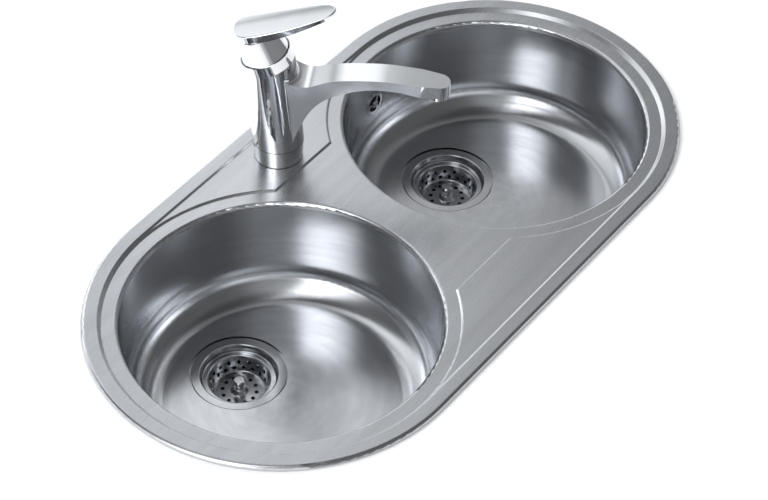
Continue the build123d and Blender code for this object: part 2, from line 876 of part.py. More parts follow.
with BuildPart() as claw:
    with BuildSketch(Plane.XZ.offset(-clamp_width / 2)):
        with BuildLine():
            Polyline(
                (-clamp_plate / 2, clamp_bend - clamp_drop),
                (-clamp_plate / 2, -clamp_drop),
                (clamp_reach, -clamp_drop),
                (clamp_reach, clamp_bend / 2 - clamp_drop),
            )
            offset(amount=clamp_strip, side=Side.LEFT)
        make_face()
    extrude(amount=clamp_width)
    with BuildSketch(Plane.XY.offset(-clamp_drop)):
        Circle(clamp_screw_radius + running_gap)
    extrude(amount=clamp_drop, mode=Mode.SUBTRACT)
save(Compound(children=at_clamps(claw.part)), "clamp_claws")

with BuildPart() as clamp_screw:
    with BuildSketch(Plane.XY.offset(-clamp_drop)):
        RegularPolygon(clamp_screw_radius * 1.8, 6)
    extrude(amount=-clamp_head_height)
    with BuildSketch(Plane.XY.offset(-clamp_drop)):
        Circle(clamp_screw_radius)
    extrude(amount=clamp_drop - clamp_strip)
save(Compound(children=at_clamps(clamp_screw.part)), "clamp_screws")


# ---- Fixed parts of the tap -----------------------------------------------------------------
save(
    ring(0, tap_y, journal_radius + 2, base_radius - 0.5, panel_level, tap_base),
    "tap_base_seal",
)

tap_base_ring = turned(
    0,
    tap_y,
    (
        (column_flange_radius + running_gap, tap_base),
        (base_radius, tap_base),
        (body_radius, seam_height),
        (column_flange_radius + running_gap, seam_height),
    ),
)
save(tap_base_ring, "tap_base_ring")

save(
    ring(0, tap_y, column_flange_radius + 1, body_radius - 0.6, seam_height, body_base),
    "glide_ring",
)

# Hollow column that the tap turns on; its threaded end goes through the sink
groove_half = 1.3
seal_groove = journal_radius - 1.8
column_outline = [
    (column_bore, -shank_length),
    (shank_radius - 1, -shank_length),
    (shank_radius, 1 - shank_length),
    (shank_radius, tap_base),
    (column_flange_radius, tap_base),
    (column_flange_radius, tap_base + column_flange_height),
    (journal_radius, tap_base + column_flange_height),
]
for level, floor in (
    (lower_seal_level, seal_groove),
    (stop_level, seal_groove),
    (upper_seal_level, seal_groove),
):
    column_outline += [
        (journal_radius, level - groove_half),
        (floor, level - groove_half),
        (floor, level + groove_half),
        (journal_radius, level + groove_half),
    ]
column_outline += [
    (journal_radius, journal_top - 1),
    (journal_radius - 1, journal_top),
    (column_bore, journal_top),
]
save(turned(0, tap_y, column_outline), "tap_column")


def column_seal(level):
    """Rubber ring in one of the column's grooves."""
    middle = (seal_groove + journal_radius + running_gap - pin_play) / 2
    with BuildPart() as seal:
        with Locations((0, tap_y, level)):
            Torus(middle, middle - seal_groove)
    return seal.part


save(
    Compound(children=[column_seal(lower_seal_level), column_seal(upper_seal_level)]),
    "column_o_rings",
)

gasket_bottom = panel_level - sheet - 2
plate_bottom = gasket_bottom - 2.5
save(
    ring(0, tap_y, shank_radius + 0.6, shank_radius + 10, gasket_bottom, panel_level - sheet),
    "shank_gasket",
)
save(ring(0, tap_y, shank_radius + 0.4, shank_radius + 10, plate_bottom, gasket_bottom), "shank_plate")
with BuildPart() as shank_nut:
    with BuildSketch(Plane.XY.offset(plate_bottom)):
        with Locations((0, tap_y)):
            RegularPolygon(shank_radius + 6.5, 6)
            Circle(shank_radius + screw_play, mode=Mode.SUBTRACT)
    extrude(amount=-shank_nut_height)
save(shank_nut.part, "shank_nut")


# ---- Body and spout -------------------------------------------------------------------------

straight_end = nozzle_s - spout_taper
near_side = [(s, spout_half_width + spread) for s, spread in spout_root]
near_side.append((straight_end, spout_half_width))
with BuildPart() as spout_blank:
    with BuildSketch(side_plane.offset(-2 * spout_half_width)):
        with BuildLine():
            top_line = Spline(*spout_top)
            under_line = Spline(*spout_under)
            Line(top_line @ 1, under_line @ 1)
            Polyline(top_line @ 0, (0, spout_top[0][1]), (0, spout_under[0][1]), under_line @ 0)
        make_face()
    extrude(amount=4 * spout_half_width)
    with BuildSketch(swivel_plane.offset(body_base)):
        with BuildLine():
            Line((straight_end, -spout_half_width), (straight_end, spout_half_width))
        with Locations((nozzle_s, 0)):
            Circle(nozzle_radius)
        make_hull()
        with BuildLine():
            near_line = Spline(*near_side)
            far_line = Spline(*[(s, -width) for s, width in near_side])
            Line(near_line @ 0, far_line @ 0)
            Line(near_line @ 1, far_line @ 1)
        make_face()
    extrude(amount=hub_z, mode=Mode.INTERSECT)

# Both planes turn their x to the back, so the seam of the turned surfaces lies there.
seam_plane = Plane(origin=(0, tap_y, body_base), x_dir=-spout_dir, z_dir=(0, 0, 1))
neck_plane = Plane(origin=hub_centre, x_dir=-hub_front, z_dir=hub_axis)
outlet_path = Spline(*[side_plane.from_local_coords(point) for point in waterway])



def lies_at_root(edge):
    """Whether an edge lies where the spout meets the body."""
    middle = side_plane.to_local_coords(edge @ 0.5)
    return 0 < middle.X < body_radius and body_base + 1 < middle.Y < spout_top[0][1]


with BuildPart() as tap_body:
    with BuildSketch(seam_plane):
        Circle(body_radius)
    with BuildSketch(neck_plane.offset(pocket_floor)):
        Circle(neck_radius)
    loft()
    with BuildSketch(neck_plane.offset(pocket_floor)):
        Circle(neck_radius)
    with BuildSketch(neck_plane.offset(neck_lip)):
        Circle(neck_radius - 1)
    loft()
    add(spout_blank.part)
    fillet(tap_body.edges().filter_by(lies_at_root), root_blend)
    # Bore for the column, and the pocket for the cartridge
    with BuildSketch(Plane.XY.offset(body_base)):
        with Locations((0, tap_y)):
            Circle(journal_radius + running_gap)
    extrude(amount=column_chamber - body_base, mode=Mode.SUBTRACT)
    for level, radius in (
        (cartridge_floor, cartridge_radius + 0.2),
        (nut_floor, nut_radius + 0.2),
        (pocket_floor, pocket_radius),
    ):
        with BuildSketch(hub_plane.offset(level)):
            Circle(radius)
        extrude(amount=neck_lip + 1 - level, mode=Mode.SUBTRACT)
    # Inlets above the column and the ways up to the cartridge
    inlet_plane = Plane(
        origin=(0, tap_y, column_chamber), x_dir=spout_dir, z_dir=(0, 0, 1)
    )
    with BuildSketch(inlet_plane):
        with Locations((inlet_s, -inlet_spread), (inlet_s, inlet_spread)):
            Circle(inlet_radius)
    extrude(amount=inlet_depth, mode=Mode.SUBTRACT)
    with BuildSketch(inlet_plane):
        with Locations((inlet_s, -inlet_spread), (inlet_s, inlet_spread)):
            Circle(inlet_radius - 1.3)
    extrude(amount=waterway[0][1] - column_chamber - 2, mode=Mode.SUBTRACT)
    # The way out to the nozzle
    with BuildSketch(Plane(origin=outlet_path @ 0, z_dir=outlet_path % 0)):
        Circle(waterway_radius)
    sweep(path=outlet_path, mode=Mode.SUBTRACT)
    with BuildSketch(swivel_plane.offset(nozzle_face)):
        with Locations((nozzle_s, 0)):
            Circle(nozzle_radius + 1)
    extrude(amount=-1, mode=Mode.SUBTRACT)
    with BuildSketch(swivel_plane.offset(nozzle_face)):
        with Locations((nozzle_s, 0)):
            Circle(aerator_thread + 0.3)
    extrude(amount=aerator_socket_depth, mode=Mode.SUBTRACT)
    # Screw at the back that runs in the column's middle groove
    with BuildSketch(stop_plane):
        Circle(stop_screw_radius + screw_play)
    extrude(amount=-body_radius / 2, mode=Mode.SUBTRACT)
save(tap_body.part, "tap_body")

with BuildPart() as stop_screw:
    with BuildSketch(stop_plane.offset(-3)):
        Circle(stop_screw_radius)
        RegularPolygon(1.3, 6, mode=Mode.SUBTRACT)
    extrude(amount=-2.5)
    with BuildSketch(stop_plane.offset(-5.5)):
        Circle(stop_screw_radius)
    extrude(amount=5.5 + journal_radius + 0.6 - body_radius)
    with BuildSketch(stop_plane.offset(journal_radius + 0.6 - body_radius)):
        Circle(1)
    extrude(amount=-2)
save(stop_screw.part, "stop_screw")


# ---- Aerator --------------------------------------------------------------------------------
nozzle = swivel_plane.from_local_coords((nozzle_s, 0, 0))
thread_top = nozzle_face + aerator_socket_depth - 1.5
save(
    turned(
        nozzle.X,
        nozzle.Y,
        (
            (aerator_insert_radius, aerator_outlet),
            (aerator_radius - 0.8, aerator_outlet),
            (aerator_radius, aerator_outlet + 0.8),
            (aerator_radius, nozzle_face),
            (aerator_thread, nozzle_face),
            (aerator_thread, thread_top),
            (aerator_insert_radius, thread_top),
        ),
    ),
    "aerator_housing",
)

with BuildPart() as aerator_insert:
    with BuildSketch(Plane.XY.offset(aerator_outlet + 1)):
        with Locations((nozzle.X, nozzle.Y)):
            Circle(aerator_insert_radius)
            for circle, count in ((2.6, 6), (5.2, 12), (7.6, 18)):
                with PolarLocations(circle, count):
                    Circle(0.65, mode=Mode.SUBTRACT)
    extrude(amount=thread_top - aerator_outlet - 1)
save(aerator_insert.part, "aerator_insert")

save(
    ring(
        nozzle.X,
        nozzle.Y,
        aerator_insert_radius - 1.2,
        aerator_thread,
        thread_top,
        nozzle_face + aerator_socket_depth,
    ),
    "aerator_washer",
)


# ---- Cartridge ------------------------------------------------------------------------------
with BuildPart() as cartridge:
    with BuildSketch(hub_plane.offset(cartridge_floor)):
        Circle(cartridge_radius)
    extrude(amount=cartridge_length)
    with BuildSketch(hub_plane.offset(pocket_floor)):
        Circle(cartridge_neck)
    extrude(amount=cartridge_neck_height)
    with BuildSketch(hub_plane.offset(carrier_bottom)):
        Circle(carrier_radius + running_gap)
    extrude(amount=cartridge_neck_height, mode=Mode.SUBTRACT)
save(cartridge.part, "cartridge")

with BuildPart() as cartridge_nut:
    with BuildSketch(hub_plane.offset(nut_floor)):
        Circle(nut_radius)
        Circle(cartridge_radius + 0.1, mode=Mode.SUBTRACT)
    extrude(amount=nut_height)
    with BuildSketch(hub_plane.offset(pocket_floor)):
        Circle(nut_radius - 1)
        Circle(cartridge_neck + running_gap, mode=Mode.SUBTRACT)
        with PolarLocations(nut_radius - 1, 6):
            Rectangle(3, 4, mode=Mode.SUBTRACT)
    extrude(amount=nut_head)
save(cartridge_nut.part, "cartridge_nut")

with BuildPart() as cartridge_carrier:
    with BuildSketch(hub_plane.offset(carrier_bottom)):
        Circle(carrier_radius)
    extrude(amount=carrier_top - carrier_bottom)
    with BuildSketch(hub_plane.offset(carrier_bottom + carrier_web)):
        Rectangle(3 * carrier_radius, spindle_width + 2 * running_gap)
    extrude(amount=carrier_top - carrier_bottom, mode=Mode.SUBTRACT)
    with BuildSketch(hub_side_plane):
        Circle(pin_radius)
    extrude(amount=carrier_radius, both=True, mode=Mode.SUBTRACT)
save(cartridge_carrier.part, "cartridge_carrier")

with BuildPart() as pivot_pin:
    with BuildSketch(hub_side_plane):
        Circle(pin_radius)
    extrude(amount=carrier_radius - 0.5, both=True)
save(pivot_pin.part, "pivot_pin")

with BuildPart() as spindle:
    with BuildSketch(hub_plane.offset(spindle_bottom)):
        Rectangle(spindle_width, spindle_width)
    extrude(amount=spindle_top - spindle_bottom)
    chamfer(spindle.faces().sort_by(Axis(hub_centre, hub_axis))[-1].edges(), 0.6)
    with BuildSketch(hub_side_plane):
        Circle(pin_radius + pin_play)
    extrude(amount=spindle_width, both=True, mode=Mode.SUBTRACT)
save(spindle.part, "spindle")


# ---- Lever ----------------------------------------------------------------------------------
mirrored = [(along, -sideways) for along, sideways in reversed(lever_plan)]
with BuildPart() as lever:
    with BuildSketch(hub_side_plane):
        with BuildLine():
            under_lever = Spline(*lever_under)
            Polyline(
                under_lever @ 0,
                (4 - lever_back, lever_under[0][1]),
                (-1 - lever_back, lever_back_level + 1),
                (-1 - lever_back, crown_level + 2),
                (lever_under[-1][0], crown_level + 2),
                under_lever @ 1,
            )
        make_face()
    extrude(amount=lever_half_width + 1, both=True)
    with BuildSketch(hub_plane):
        with BuildLine():
            Spline((-lever_back, 0), *lever_plan, (lever_front, 0), *mirrored, periodic=True)
        make_face()
    extrude(amount=crown_level + 2, mode=Mode.INTERSECT)
    # Crowned top: a wide cylinder lying along the lever, dipping towards the tip
    with Locations(
        Plane(
            origin=hub_centre + hub_axis * (crown_level - crown_radius),
            x_dir=across,
            z_dir=hub_front - hub_axis * crown_dip,
        )
    ):
        Cylinder(crown_radius, 4 * lever_front, mode=Mode.INTERSECT)
    top_edges = lever.faces().filter_by(GeomType.CYLINDER).sort_by(SortBy.AREA)[-1].edges()
    fillet(top_edges, lever_edge_radius)
    # Skirt over the cartridge, closed at the top, with a square socket for the spindle
    with BuildSketch(hub_side_plane):
        with BuildLine():
            Polyline(
                (0, skirt_height + 1),
                (skirt_top_radius, skirt_height + 1),
                (skirt_top_radius, skirt_height),
                (skirt_radius, 0),
                (skirt_radius - skirt_wall, 0),
                (skirt_top_radius - skirt_wall, skirt_height - 2),
                (socket_boss_radius, skirt_height - 2),
                (socket_boss_radius, socket_boss_bottom),
                (0, socket_boss_bottom),
                close=True,
            )
        make_face()
    revolve(axis=Axis(hub_centre, hub_axis))
    with BuildSketch(hub_plane):
        Rectangle(spindle_width + 0.2, spindle_width + 0.2)
    extrude(amount=spindle_top + 0.2, mode=Mode.SUBTRACT)
    # Hole at the back for the grub screw that grips the spindle
    with BuildSketch(grub_plane):
        Circle(grub_radius + screw_play)
    extrude(amount=skirt_radius, mode=Mode.SUBTRACT)
save(lever.part, "lever")

with BuildPart() as grub_screw:
    with BuildSketch(grub_plane.offset(0.1)):
        Circle(grub_radius)
    extrude(amount=grub_length)
    with BuildSketch(grub_plane.offset(0.1 + grub_length)):
        RegularPolygon(1.3, 6)
    extrude(amount=-2.5, mode=Mode.SUBTRACT)
save(grub_screw.part, "grub_screw")

with BuildPart() as index_plug:
    with BuildSketch(grub_plane.offset(index_plug_start)):
        Circle(grub_radius)
    extrude(amount=index_plug_length)
save(index_plug.part, "index_plug")
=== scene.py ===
"""Looks of the inset double bowl sink and its tap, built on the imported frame. Metres."""

from math import cos, pi, radians, sin

import bmesh
import bpy
from mathutils import Matrix, Vector


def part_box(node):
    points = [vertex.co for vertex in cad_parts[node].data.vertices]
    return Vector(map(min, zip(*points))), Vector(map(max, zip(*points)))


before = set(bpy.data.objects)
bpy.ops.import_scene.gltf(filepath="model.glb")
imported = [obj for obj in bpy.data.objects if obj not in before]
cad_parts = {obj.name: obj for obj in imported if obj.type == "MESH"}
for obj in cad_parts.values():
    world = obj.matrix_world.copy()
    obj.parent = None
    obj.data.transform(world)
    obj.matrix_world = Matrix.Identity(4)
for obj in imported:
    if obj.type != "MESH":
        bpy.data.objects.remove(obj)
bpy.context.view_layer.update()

# ---- Places worked out from the frame -------------------------------------------------------
bowl_low, bowl_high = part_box("right_bowl")
bowl_x = (bowl_low.x + bowl_high.x) / 2  # the left bowl stands at -bowl_x
cup_low, cup_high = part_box("right_strainer_cup")
waste_y = (cup_low.y + cup_high.y) / 2
seal_low, seal_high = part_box("rim_seal")

# ---- Worktop --------------------------------------------------------------------------------
cutout_inset = 0.010  # the cut-out stays this far inside the outer edge of the foam strip
cutout_radius = seal_high.y - cutout_inset
worktop_thickness = 0.025
worktop_reach = 2.4  # from the middle to each edge
cutout_arc_steps = 64
weld_distance = 0.000001

# ---- Camera ---------------------------------------------------------------------------------
camera_turn = radians(-53.96)  # from the front of the sink, towards +X
camera_rise = radians(45.18)  # above the plane of the worktop
camera_roll = radians(1.26)  # counter-clockwise, seen from behind the camera
camera_distance = 2.98846
camera_target = Vector((-0.05453, -0.02937, 0.006))
lens_mm = 124.28
sensor_mm = 36
view_depth = 30

# ---- Light ----------------------------------------------------------------------------------
# Place, width, height and watts of each lamp
lamps = {
    "key_box": ((-1.6, 1.6, 2.2), 1.4, 1.4, 60),
    "fill_box": ((2.2, 1.4, 1.8), 1.2, 1.6, 40),
    "front_box": ((-0.6, -2.6, 2.0), 2.0, 1.0, 30),
}
world_colour = (0.95, 0.97, 1.0, 1)
world_strength = 0.55
dome_radius = 2.2
dome_tint = (0.96, 0.98, 1.0)
dome_strength = 5.0  # light of the dome where its colour is white
# Light of the dome by degrees to the right of the camera's side
light_around = (
    (-180, 0.65),
    (-174, 1.1),
    (-165, 1.2),
    (-157, 0.5),
    (-149, 0.9),
    (-125, 1.1),
    (-108, 1.3),
    (-100, 0.15),
    (-58, 0.15),
    (-46, 1.6),
    (-34, 2.7),
    (-20, 2.7),
    (-13, 0.35),
    (12, 0.35),
    (30, 0.13),
    (120, 0.12),
    (160, 0.3),
    (180, 0.65),
)
# Factor on that light by height, from 0 at the horizon to 1 at the top of the dome
light_upward = (
    (0.0, 1.7),
    (0.26, 1.9),
    (0.4, 0.85),
    (0.5, 1.0),
    (0.85, 1.0),
    (0.95, 0.5),
    (1.0, 0.4),
)


# ---- Material helpers -----------------------------------------------------------------------
class Shader:
    """A Principled material with short ways to add and join its nodes."""

    def __init__(self, name, colour, roughness, metallic=0.0):
        self.material = bpy.data.materials.new(name)
        self.material.use_nodes = True
        self.tree = self.material.node_tree
        self.surface = self.tree.nodes["Principled BSDF"]
        self.surface.inputs["Base Color"].default_value = (*colour, 1)
        self.surface.inputs["Roughness"].default_value = roughness
        self.surface.inputs["Metallic"].default_value = metallic

    def feed(self, value, target):
        """Link an output to an input, or set the input to a constant."""
        if isinstance(value, bpy.types.NodeSocket):
            self.tree.links.new(value, target)
        else:
            target.default_value = value

    def node(self, kind, **values):
        """New node, with its inputs fed by name."""
        node = self.tree.nodes.new(kind)
        for name, value in values.items():
            self.feed(value, node.inputs[name.replace("_", " ").title()])
        return node

    def operation(self, kind, operation, values):
        """New maths node, with its inputs fed in order."""
        node = self.tree.nodes.new(kind)
        node.operation = operation
        for value, target in zip(values, node.inputs):
            self.feed(value, target)
        return node

    def maths(self, operation, *values):
        return self.operation("ShaderNodeMath", operation, values).outputs["Value"]

    def vector_maths(self, operation, *values):
        return self.operation("ShaderNodeVectorMath", operation, values).outputs["Vector"]

    def measure(self, operation, *vectors):
        """A number worked out from vectors, such as their dot product."""
        return self.operation("ShaderNodeVectorMath", operation, vectors).outputs["Value"]

    def scaled(self, vector, factor):
        node = self.operation("ShaderNodeVectorMath", "SCALE", [vector])
        self.feed(factor, node.inputs["Scale"])
        return node.outputs["Vector"]

    def place(self):
        """Position on the object, in metres."""
        return self.node("ShaderNodeTexCoord").outputs["Object"]

    def axes(self, vector):
        """The numbers along X, Y and Z."""
        return self.node("ShaderNodeSeparateXYZ", vector=vector).outputs.values()

    def stretched(self, vector, scale):
        """The vector scaled by its own amount along each axis."""
        return self.node("ShaderNodeMapping", vector=vector, scale=scale).outputs["Vector"]

    def noise(self, vector, detail, roughness, scale=1.0):
        """Noise from 0 to 1, with about scale specks along each unit of the vector."""
        node = self.node(
            "ShaderNodeTexNoise", vector=vector, scale=scale, detail=detail, roughness=roughness
        )
        return node.outputs["Fac"]

    def ranged(self, value, low, high, start=0.0, end=1.0):
        """The value mapped so that start gives low and end gives high."""
        node = self.node(
            "ShaderNodeMapRange", value=value, from_min=start, from_max=end, to_min=low, to_max=high
        )
        return node.outputs["Result"]

    def ramp(self, value, stops):
        """Colour by value, from stops that each have a position and a colour."""
        node = self.node("ShaderNodeValToRGB", fac=value)
        elements = node.color_ramp.elements
        while len(elements) < len(stops):
            elements.new(0.5)  # its place is set below
        for element, (position, colour) in zip(elements, stops):
            element.position = position
            element.color = (*colour, 1)
        return node.outputs["Color"]

    def grey_ramp(self, value, stops):
        return self.ramp(value, [(position, (grey, grey, grey)) for position, grey in stops])

    def bump(self, height, distance, strength, normal=None):
        """Relief up to the distance, on the mesh's own normal or on the one given."""
        node = self.node("ShaderNodeBump", height=height, distance=distance, strength=strength)
        if normal is not None:
            self.feed(normal, node.inputs["Normal"])
        self.feed(node.outputs["Normal"], self.surface.inputs["Normal"])

    def vary_roughness(self, value, low, high):
        self.feed(self.ranged(value, low, high), self.surface.inputs["Roughness"])

    def vary_colour(self, value, colour, dark, light):
        """Base colour between a darker and a lighter form of the given colour."""
        dark_below, light_above = 0.3, 0.7  # most of the noise lies between
        darker = [amount * dark for amount in colour]
        lighter = [min(1, amount * light) for amount in colour]
        varied = self.ramp(value, ((dark_below, darker), (light_above, lighter)))
        self.feed(varied, self.surface.inputs["Base Color"])


def from_axis(shader, x, y):
    """Vector to the surface from the foot of a vertical axis, and its level part."""
    offset = shader.vector_maths("SUBTRACT", shader.place(), (x, y, 0))
    return offset, shader.vector_maths("MULTIPLY", offset, (1, 1, 0))


def turning_marks(shader, x, y):
    """Angle, radius and height about a vertical axis, and the direction of the marks."""
    offset, level = from_axis(shader, x, y)
    across, along, height = shader.axes(offset)
    angle = shader.maths("ARCTAN2", along, across)
    radius = shader.measure("LENGTH", level)
    grain = shader.node("ShaderNodeCombineXYZ", x=angle, y=radius, z=height)
    return grain.outputs["Vector"], shader.vector_maths("CROSS_PRODUCT", (0, 0, 1), level)


def round_normal(shader, x, y):
    """Normal that points straight at the axis wherever a steep wall runs round it.

    The mesh of a turned wall has a jump in its normals where the turn starts and ends.
    """
    largest_turn = radians(3)  # of a normal that is turned to the axis
    least_slope = radians(45)  # of a wall that counts as steep
    normal = shader.node("ShaderNodeNewGeometry").outputs["Normal"]
    _, level = from_axis(shader, x, y)
    radial = shader.vector_maths("NORMALIZE", level)
    upright = shader.vector_maths("MULTIPLY", normal, (0, 0, 1))
    size = shader.measure("LENGTH", shader.vector_maths("MULTIPLY", normal, (1, 1, 0)))
    toward = shader.measure("DOT_PRODUCT", normal, radial)
    facing = shader.maths("DIVIDE", shader.maths("ABSOLUTE", toward), size)
    lined_up = shader.maths("GREATER_THAN", facing, cos(largest_turn))
    steep = shader.maths("GREATER_THAN", size, sin(least_slope))
    signed_size = shader.maths("MULTIPLY", size, shader.maths("SIGN", toward))
    mended = shader.vector_maths("ADD", shader.scaled(radial, signed_size), upright)
    change = shader.vector_maths("SUBTRACT", mended, normal)
    share = shader.maths("MULTIPLY", lined_up, steep)
    return shader.vector_maths("ADD", normal, shader.scaled(change, share))


def turned_steel(name, x, y, colour, roughness, anisotropy):
    """Stainless steel with fine marks running round a vertical axis."""
    steel = Shader(name, colour, roughness, metallic=1.0)
    grain, tangent = turning_marks(steel, x, y)
    fine = steel.noise(steel.stretched(grain, (14, 2600, 2600)), detail=2.0, roughness=0.6)
    broad = steel.noise(steel.stretched(grain, (2.2, 90, 90)), detail=3.0, roughness=0.5)
    marks = steel.maths("MULTIPLY", fine, broad)
    steel.vary_roughness(fine, roughness - 0.05, roughness + 0.07)
    steel.vary_colour(broad, colour, dark=0.93, light=1.05)
    steel.bump(marks, distance=0.000012, strength=0.3, normal=round_normal(steel, x, y))
    steel.surface.inputs["Anisotropic"].default_value = anisotropy
    steel.feed(tangent, steel.surface.inputs["Tangent"])
    return steel.material


def brushed_steel(name, colour, roughness, anisotropy):
    """Stainless sheet brushed along X, with faint rolling streaks."""
    steel = Shader(name, colour, roughness, metallic=1.0)
    place = steel.place()
    fine = steel.noise(steel.stretched(place, (60, 4800, 4800)), detail=2.0, roughness=0.6)
    broad = steel.noise(steel.stretched(place, (5, 70, 70)), detail=3.0, roughness=0.5)
    steel.vary_roughness(fine, roughness - 0.06, roughness + 0.08)
    steel.vary_colour(broad, colour, dark=0.94, light=1.05)
    steel.bump(fine, distance=0.000010, strength=0.3)
    steel.surface.inputs["Anisotropic"].default_value = anisotropy
    return steel.material


def plated(name, colour, roughness):
    """Bright plating over polished metal, with a trace of ripple and handling haze."""
    metal = Shader(name, colour, roughness, metallic=1.0)
    place = metal.place()
    haze = metal.noise(place, detail=4.0, roughness=0.6, scale=38.0)
    ripple = metal.noise(place, detail=1.0, roughness=0.4, scale=70.0)
    metal.vary_roughness(haze, roughness * 0.6, roughness * 1.7)
    metal.vary_colour(haze, colour, dark=0.97, light=1.01)
    metal.bump(ripple, distance=0.00002, strength=0.25)
    return metal.material


def machined(name, colour, roughness):
    """Turned metal with fine tool marks and slight tarnish."""
    metal = Shader(name, colour, roughness, metallic=1.0)
    place = metal.place()
    marks = metal.noise(metal.stretched(place, (300, 300, 6000)), detail=2.0, roughness=0.6)
    tarnish = metal.noise(place, detail=4.0, roughness=0.6, scale=120.0)
    metal.vary_roughness(tarnish, roughness - 0.05, roughness + 0.12)
    metal.vary_colour(tarnish, colour, dark=0.8, light=1.06)
    metal.bump(marks, distance=0.00002, strength=0.5)
    return metal.material


def moulded(name, colour, roughness, grain_scale, grain_depth):
    """Moulded plastic with a fine grain and faint sheen changes."""
    plastic = Shader(name, colour, roughness)
    place = plastic.place()
    grain = plastic.noise(place, detail=3.0, roughness=0.6, scale=grain_scale)
    flow = plastic.noise(place, detail=3.0, roughness=0.5, scale=45.0)
    plastic.vary_roughness(flow, roughness - 0.07, roughness + 0.09)
    plastic.vary_colour(flow, colour, dark=0.88, light=1.1)
    plastic.bump(grain, distance=grain_depth, strength=0.6)
    return plastic.material


def rubbery(name, colour, roughness):
    """Matt rubber with a dusty bloom."""
    rubber = Shader(name, colour, roughness)
    place = rubber.place()
    bloom = rubber.noise(place, detail=5.0, roughness=0.65, scale=160.0)
    pores = rubber.noise(place, detail=2.0, roughness=0.6, scale=2600.0)
    rubber.vary_roughness(bloom, roughness - 0.13, roughness + 0.13)
    rubber.vary_colour(bloom, colour, dark=0.7, light=1.5)
    rubber.bump(pores, distance=0.00005, strength=0.7)
    rubber.surface.inputs["Sheen Weight"].default_value = 0.15
    return rubber.material


# ---- Materials ------------------------------------------------------------------------------
sheet_colour = (0.64, 0.65, 0.67)
waste_colour = (0.58, 0.59, 0.61)
top_steel = brushed_steel("sink_top_steel", sheet_colour, roughness=0.27, anisotropy=0.3)
chrome = plated("tap_chrome", (0.91, 0.92, 0.94), roughness=0.035)
bright_steel = plated("bright_steel", (0.66, 0.67, 0.69), roughness=0.10)
brass = machined("column_brass", (0.72, 0.55, 0.26), roughness=0.24)
zinc = machined("clamp_zinc", (0.55, 0.56, 0.58), roughness=0.38)
black_plastic = moulded(
    "black_plastic", (0.035, 0.035, 0.04), roughness=0.42, grain_scale=2400.0, grain_depth=0.00004
)
white_plastic = moulded(
    "white_plastic", (0.72, 0.72, 0.70), roughness=0.38, grain_scale=2000.0, grain_depth=0.00003
)
index_plastic = moulded(
    "index_plastic", (0.70, 0.71, 0.73), roughness=0.22, grain_scale=1500.0, grain_depth=0.00001
)
rubber = rubbery("black_rubber", (0.03, 0.03, 0.033), roughness=0.75)
foam = rubbery("grey_foam", (0.16, 0.16, 0.17), roughness=0.75)

material_of = {
    "sink_top": top_steel,
    "rim_seal": foam,
    "overflow_grille": bright_steel,
    "overflow_screw": bright_steel,
    "overflow_seal": rubber,
    "overflow_elbow": black_plastic,
    "overflow_pipe": black_plastic,
    "clamp_hangers": zinc,
    "clamp_claws": zinc,
    "clamp_screws": zinc,
    "tap_base_seal": rubber,
    "tap_base_ring": chrome,
    "glide_ring": black_plastic,
    "tap_column": brass,
    "column_o_rings": rubber,
    "shank_gasket": rubber,
    "shank_plate": zinc,
    "shank_nut": brass,
    "tap_body": chrome,
    "stop_screw": zinc,
    "aerator_housing": chrome,
    "aerator_insert": white_plastic,
    "aerator_washer": rubber,
    "cartridge": white_plastic,
    "cartridge_nut": brass,
    "cartridge_carrier": white_plastic,
    "pivot_pin": zinc,
    "spindle": zinc,
    "lever": chrome,
    "grub_screw": zinc,
    "index_plug": index_plastic,
}
for side, x in (("left", -bowl_x), ("right", bowl_x)):
    bowl_steel = turned_steel(
        f"{side}_bowl_steel", x, 0, sheet_colour, roughness=0.18, anisotropy=0.4
    )
    waste_steel = turned_steel(
        f"{side}_waste_steel", x, waste_y, waste_colour, roughness=0.14, anisotropy=0.3
    )
    material_of.update(
        {
            f"{side}_bowl": bowl_steel,
            f"{side}_sound_pad": rubber,
            f"{side}_strainer_cup": waste_steel,
            f"{side}_flange_gasket": rubber,
            f"{side}_lower_gasket": rubber,
            f"{side}_waste_body": black_plastic,
            f"{side}_waste_screw": bright_steel,
            f"{side}_basket": waste_steel,
            f"{side}_basket_knob": waste_steel,
            f"{side}_basket_plug": black_plastic,
            f"{side}_plug_seal": rubber,
        }
    )
for name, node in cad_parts.items():
    node.data.materials.clear()
    node.data.materials.append(material_of[name])


# ---- Objects of the scene -------------------------------------------------------------------
def scene_object(name, data):
    """New object in the scene."""
    thing = bpy.data.objects.new(name, data)
    bpy.context.scene.collection.objects.link(thing)
    return thing


def mesh_object(name, mesh, material):
    """New object in the scene from a finished bmesh."""
    data = bpy.data.meshes.new(name)
    mesh.to_mesh(data)
    mesh.free()
    data.materials.append(material)
    return scene_object(name, data)


# ---- Worktop for the sink to lie in ---------------------------------------------------------
def cutout_ring(mesh, level):
    """Closed ring of points in the shape of the sink's outline."""
    points = []
    for centre, start in ((bowl_x, -pi / 2), (-bowl_x, pi / 2)):
        for step in range(cutout_arc_steps + 1):
            turn = start + pi * step / cutout_arc_steps
            place = (centre + cutout_radius * cos(turn), cutout_radius * sin(turn), level)
            points.append(mesh.verts.new(place))
    return points


def edge_ring(mesh, inner, level):
    """Points of the inner ring sent out to the edges, where most meet in the corners."""
    stretch = 40  # takes every point past an edge
    points = []
    for point in inner:
        x, y = (max(-worktop_reach, min(worktop_reach, at * stretch)) for at in point.co.xy)
        points.append(mesh.verts.new((x, y, level)))
    return points


